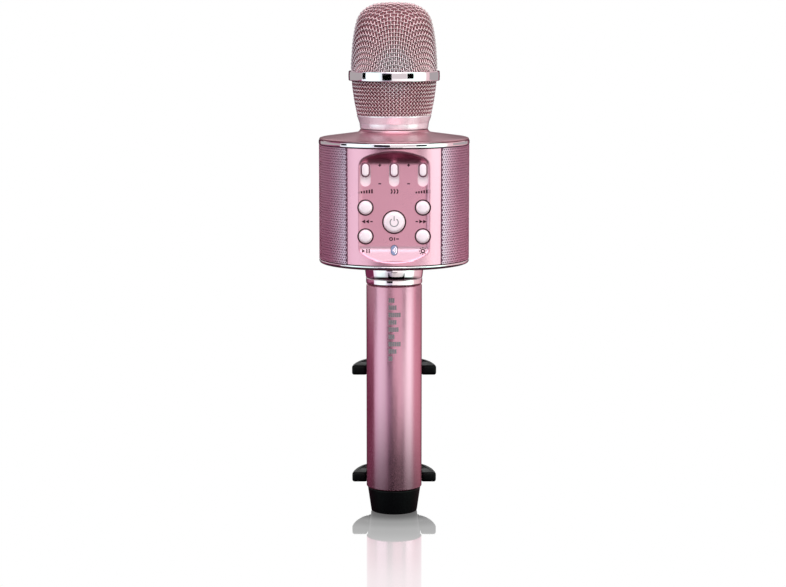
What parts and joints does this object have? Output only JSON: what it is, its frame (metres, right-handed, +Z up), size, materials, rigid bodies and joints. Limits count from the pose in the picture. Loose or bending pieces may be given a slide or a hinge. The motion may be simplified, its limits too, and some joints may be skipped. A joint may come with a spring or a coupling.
{
  "type": "wireless karaoke microphone",
  "caption": "Handheld karaoke microphone with a speaker drum below its mesh head, a recessed control panel, and a sprung phone clamp behind the handle.",
  "frame": {"origin": "centre of the flat bottom face of the end cap", "axes": "+Z up along the handle to the mesh head, -Y towards the control panel, +X to the right of the panel as the user sees it"},
  "size_m": [0.08, 0.08, 0.2729],
  "materials": {
    "rose_satin": "satin anodised rose pink",
    "rose_chrome": "mirror polish with a rose tint",
    "side_grille": "finely perforated, satin mauve",
    "steel": "plated steel",
    "control_gloss": "glossy pink-white",
    "black_satin": "satin black moulding",
    "black_rubber": "soft matte black",
    "foam": "open foam, dusty pink",
    "circuit_board": "green solder mask",
    "paper_cone": "pressed paper",
    "cell_wrap": "shrink wrap over a steel can",
    "blue_lens": "translucent blue",
    "dark_plastic": "moulded dark plastic"
  },
  "bodies": {
    "microphone": {"amplifier": "dark_plastic", "aux_socket": "dark_plastic", "battery_carrier": "dark_plastic", "battery_cell": "cell_wrap", "battery_spring": "steel", "bottom_trim": "rose_chrome", "capsule_mount": "black_rubber", "card_socket": "steel", "charge_socket": "steel", "clamp_frame": "black_satin", "clamp_pad": "black_rubber", "clamp_saddle": "black_satin", "cover_screw_1": "steel", "cover_screw_2": "steel", "cover_screw_3": "steel", "drum_bottom_cover": "rose_satin", "drum_chassis": "dark_plastic", "drum_top_cover": "rose_satin", "end_cap": "black_satin", "foam_liner": "foam", "front_panel": "rose_satin", "grille_left": "side_grille", "grille_lower": "steel", "grille_right": "side_grille", "grille_upper": "steel", "handle_tube": "rose_satin", "head_band": "rose_chrome", "head_collar": "rose_chrome", "lower_neck": "rose_chrome", "main_board": "circuit_board", "mic_capsule": "dark_plastic", "neck_nut": "steel", "port_board": "circuit_board", "radio_module": "steel", "rear_panel": "rose_satin", "slide_pot_echo": "dark_plastic", "slide_pot_mic": "dark_plastic", "slide_pot_volume": "dark_plastic", "speaker_cone_left": "paper_cone", "speaker_cone_right": "paper_cone", "speaker_frame_left": "steel", "speaker_frame_right": "steel", "speaker_magnet_left": "steel", "speaker_magnet_right": "steel", "status_lens": "blue_lens", "top_trim": "rose_chrome", "upper_neck": "dark_plastic"},
    "slider_mic": {"slider_mic": "control_gloss"},
    "slider_echo": {"slider_echo": "control_gloss"},
    "slider_volume": {"slider_volume": "control_gloss"},
    "button_previous": {"button_previous": "control_gloss"},
    "button_next": {"button_next": "control_gloss"},
    "button_play": {"button_play": "control_gloss"},
    "button_light": {"button_light": "control_gloss"},
    "button_power": {"button_power": "control_gloss"},
    "jaw_left": {"jaw_left": "black_satin"},
    "jaw_right": {"jaw_right": "black_satin"}
  },
  "joints": [
    {"name": "slider_mic_slide", "type": "slide", "parent": "microphone", "child": "slider_mic", "axis": [0, 0, 1], "range_m": [-0.0047, 0]},
    {"name": "slider_echo_slide", "type": "slide", "parent": "microphone", "child": "slider_echo", "axis": [0, 0, 1], "range_m": [-0.0047, 0]},
    {"name": "slider_volume_slide", "type": "slide", "parent": "microphone", "child": "slider_volume", "axis": [0, 0, 1], "range_m": [-0.0047, 0]},
    {"name": "button_previous_press", "type": "slide", "parent": "microphone", "child": "button_previous", "axis": [0, 1, 0], "range_m": [0, 0.0006], "stiffness_N_per_m": 500},
    {"name": "button_next_press", "type": "slide", "parent": "microphone", "child": "button_next", "axis": [0, 1, 0], "range_m": [0, 0.0006], "stiffness_N_per_m": 500},
    {"name": "button_play_press", "type": "slide", "parent": "microphone", "child": "button_play", "axis": [0, 1, 0], "range_m": [0, 0.0006], "stiffness_N_per_m": 500},
    {"name": "button_light_press", "type": "slide", "parent": "microphone", "child": "button_light", "axis": [0, 1, 0], "range_m": [0, 0.0006], "stiffness_N_per_m": 500},
    {"name": "button_power_press", "type": "slide", "parent": "microphone", "child": "button_power", "axis": [0, 1, 0], "range_m": [0, 0.0006], "stiffness_N_per_m": 500},
    {"name": "jaw_left_slide", "type": "slide", "parent": "microphone", "child": "jaw_left", "axis": [-1, 0, 0], "range_m": [0, 0.018], "stiffness_N_per_m": 150},
    {"name": "jaw_right_slide", "type": "slide", "parent": "microphone", "child": "jaw_right", "axis": [1, 0, 0], "range_m": [0, 0.018], "stiffness_N_per_m": 150}
  ]
}
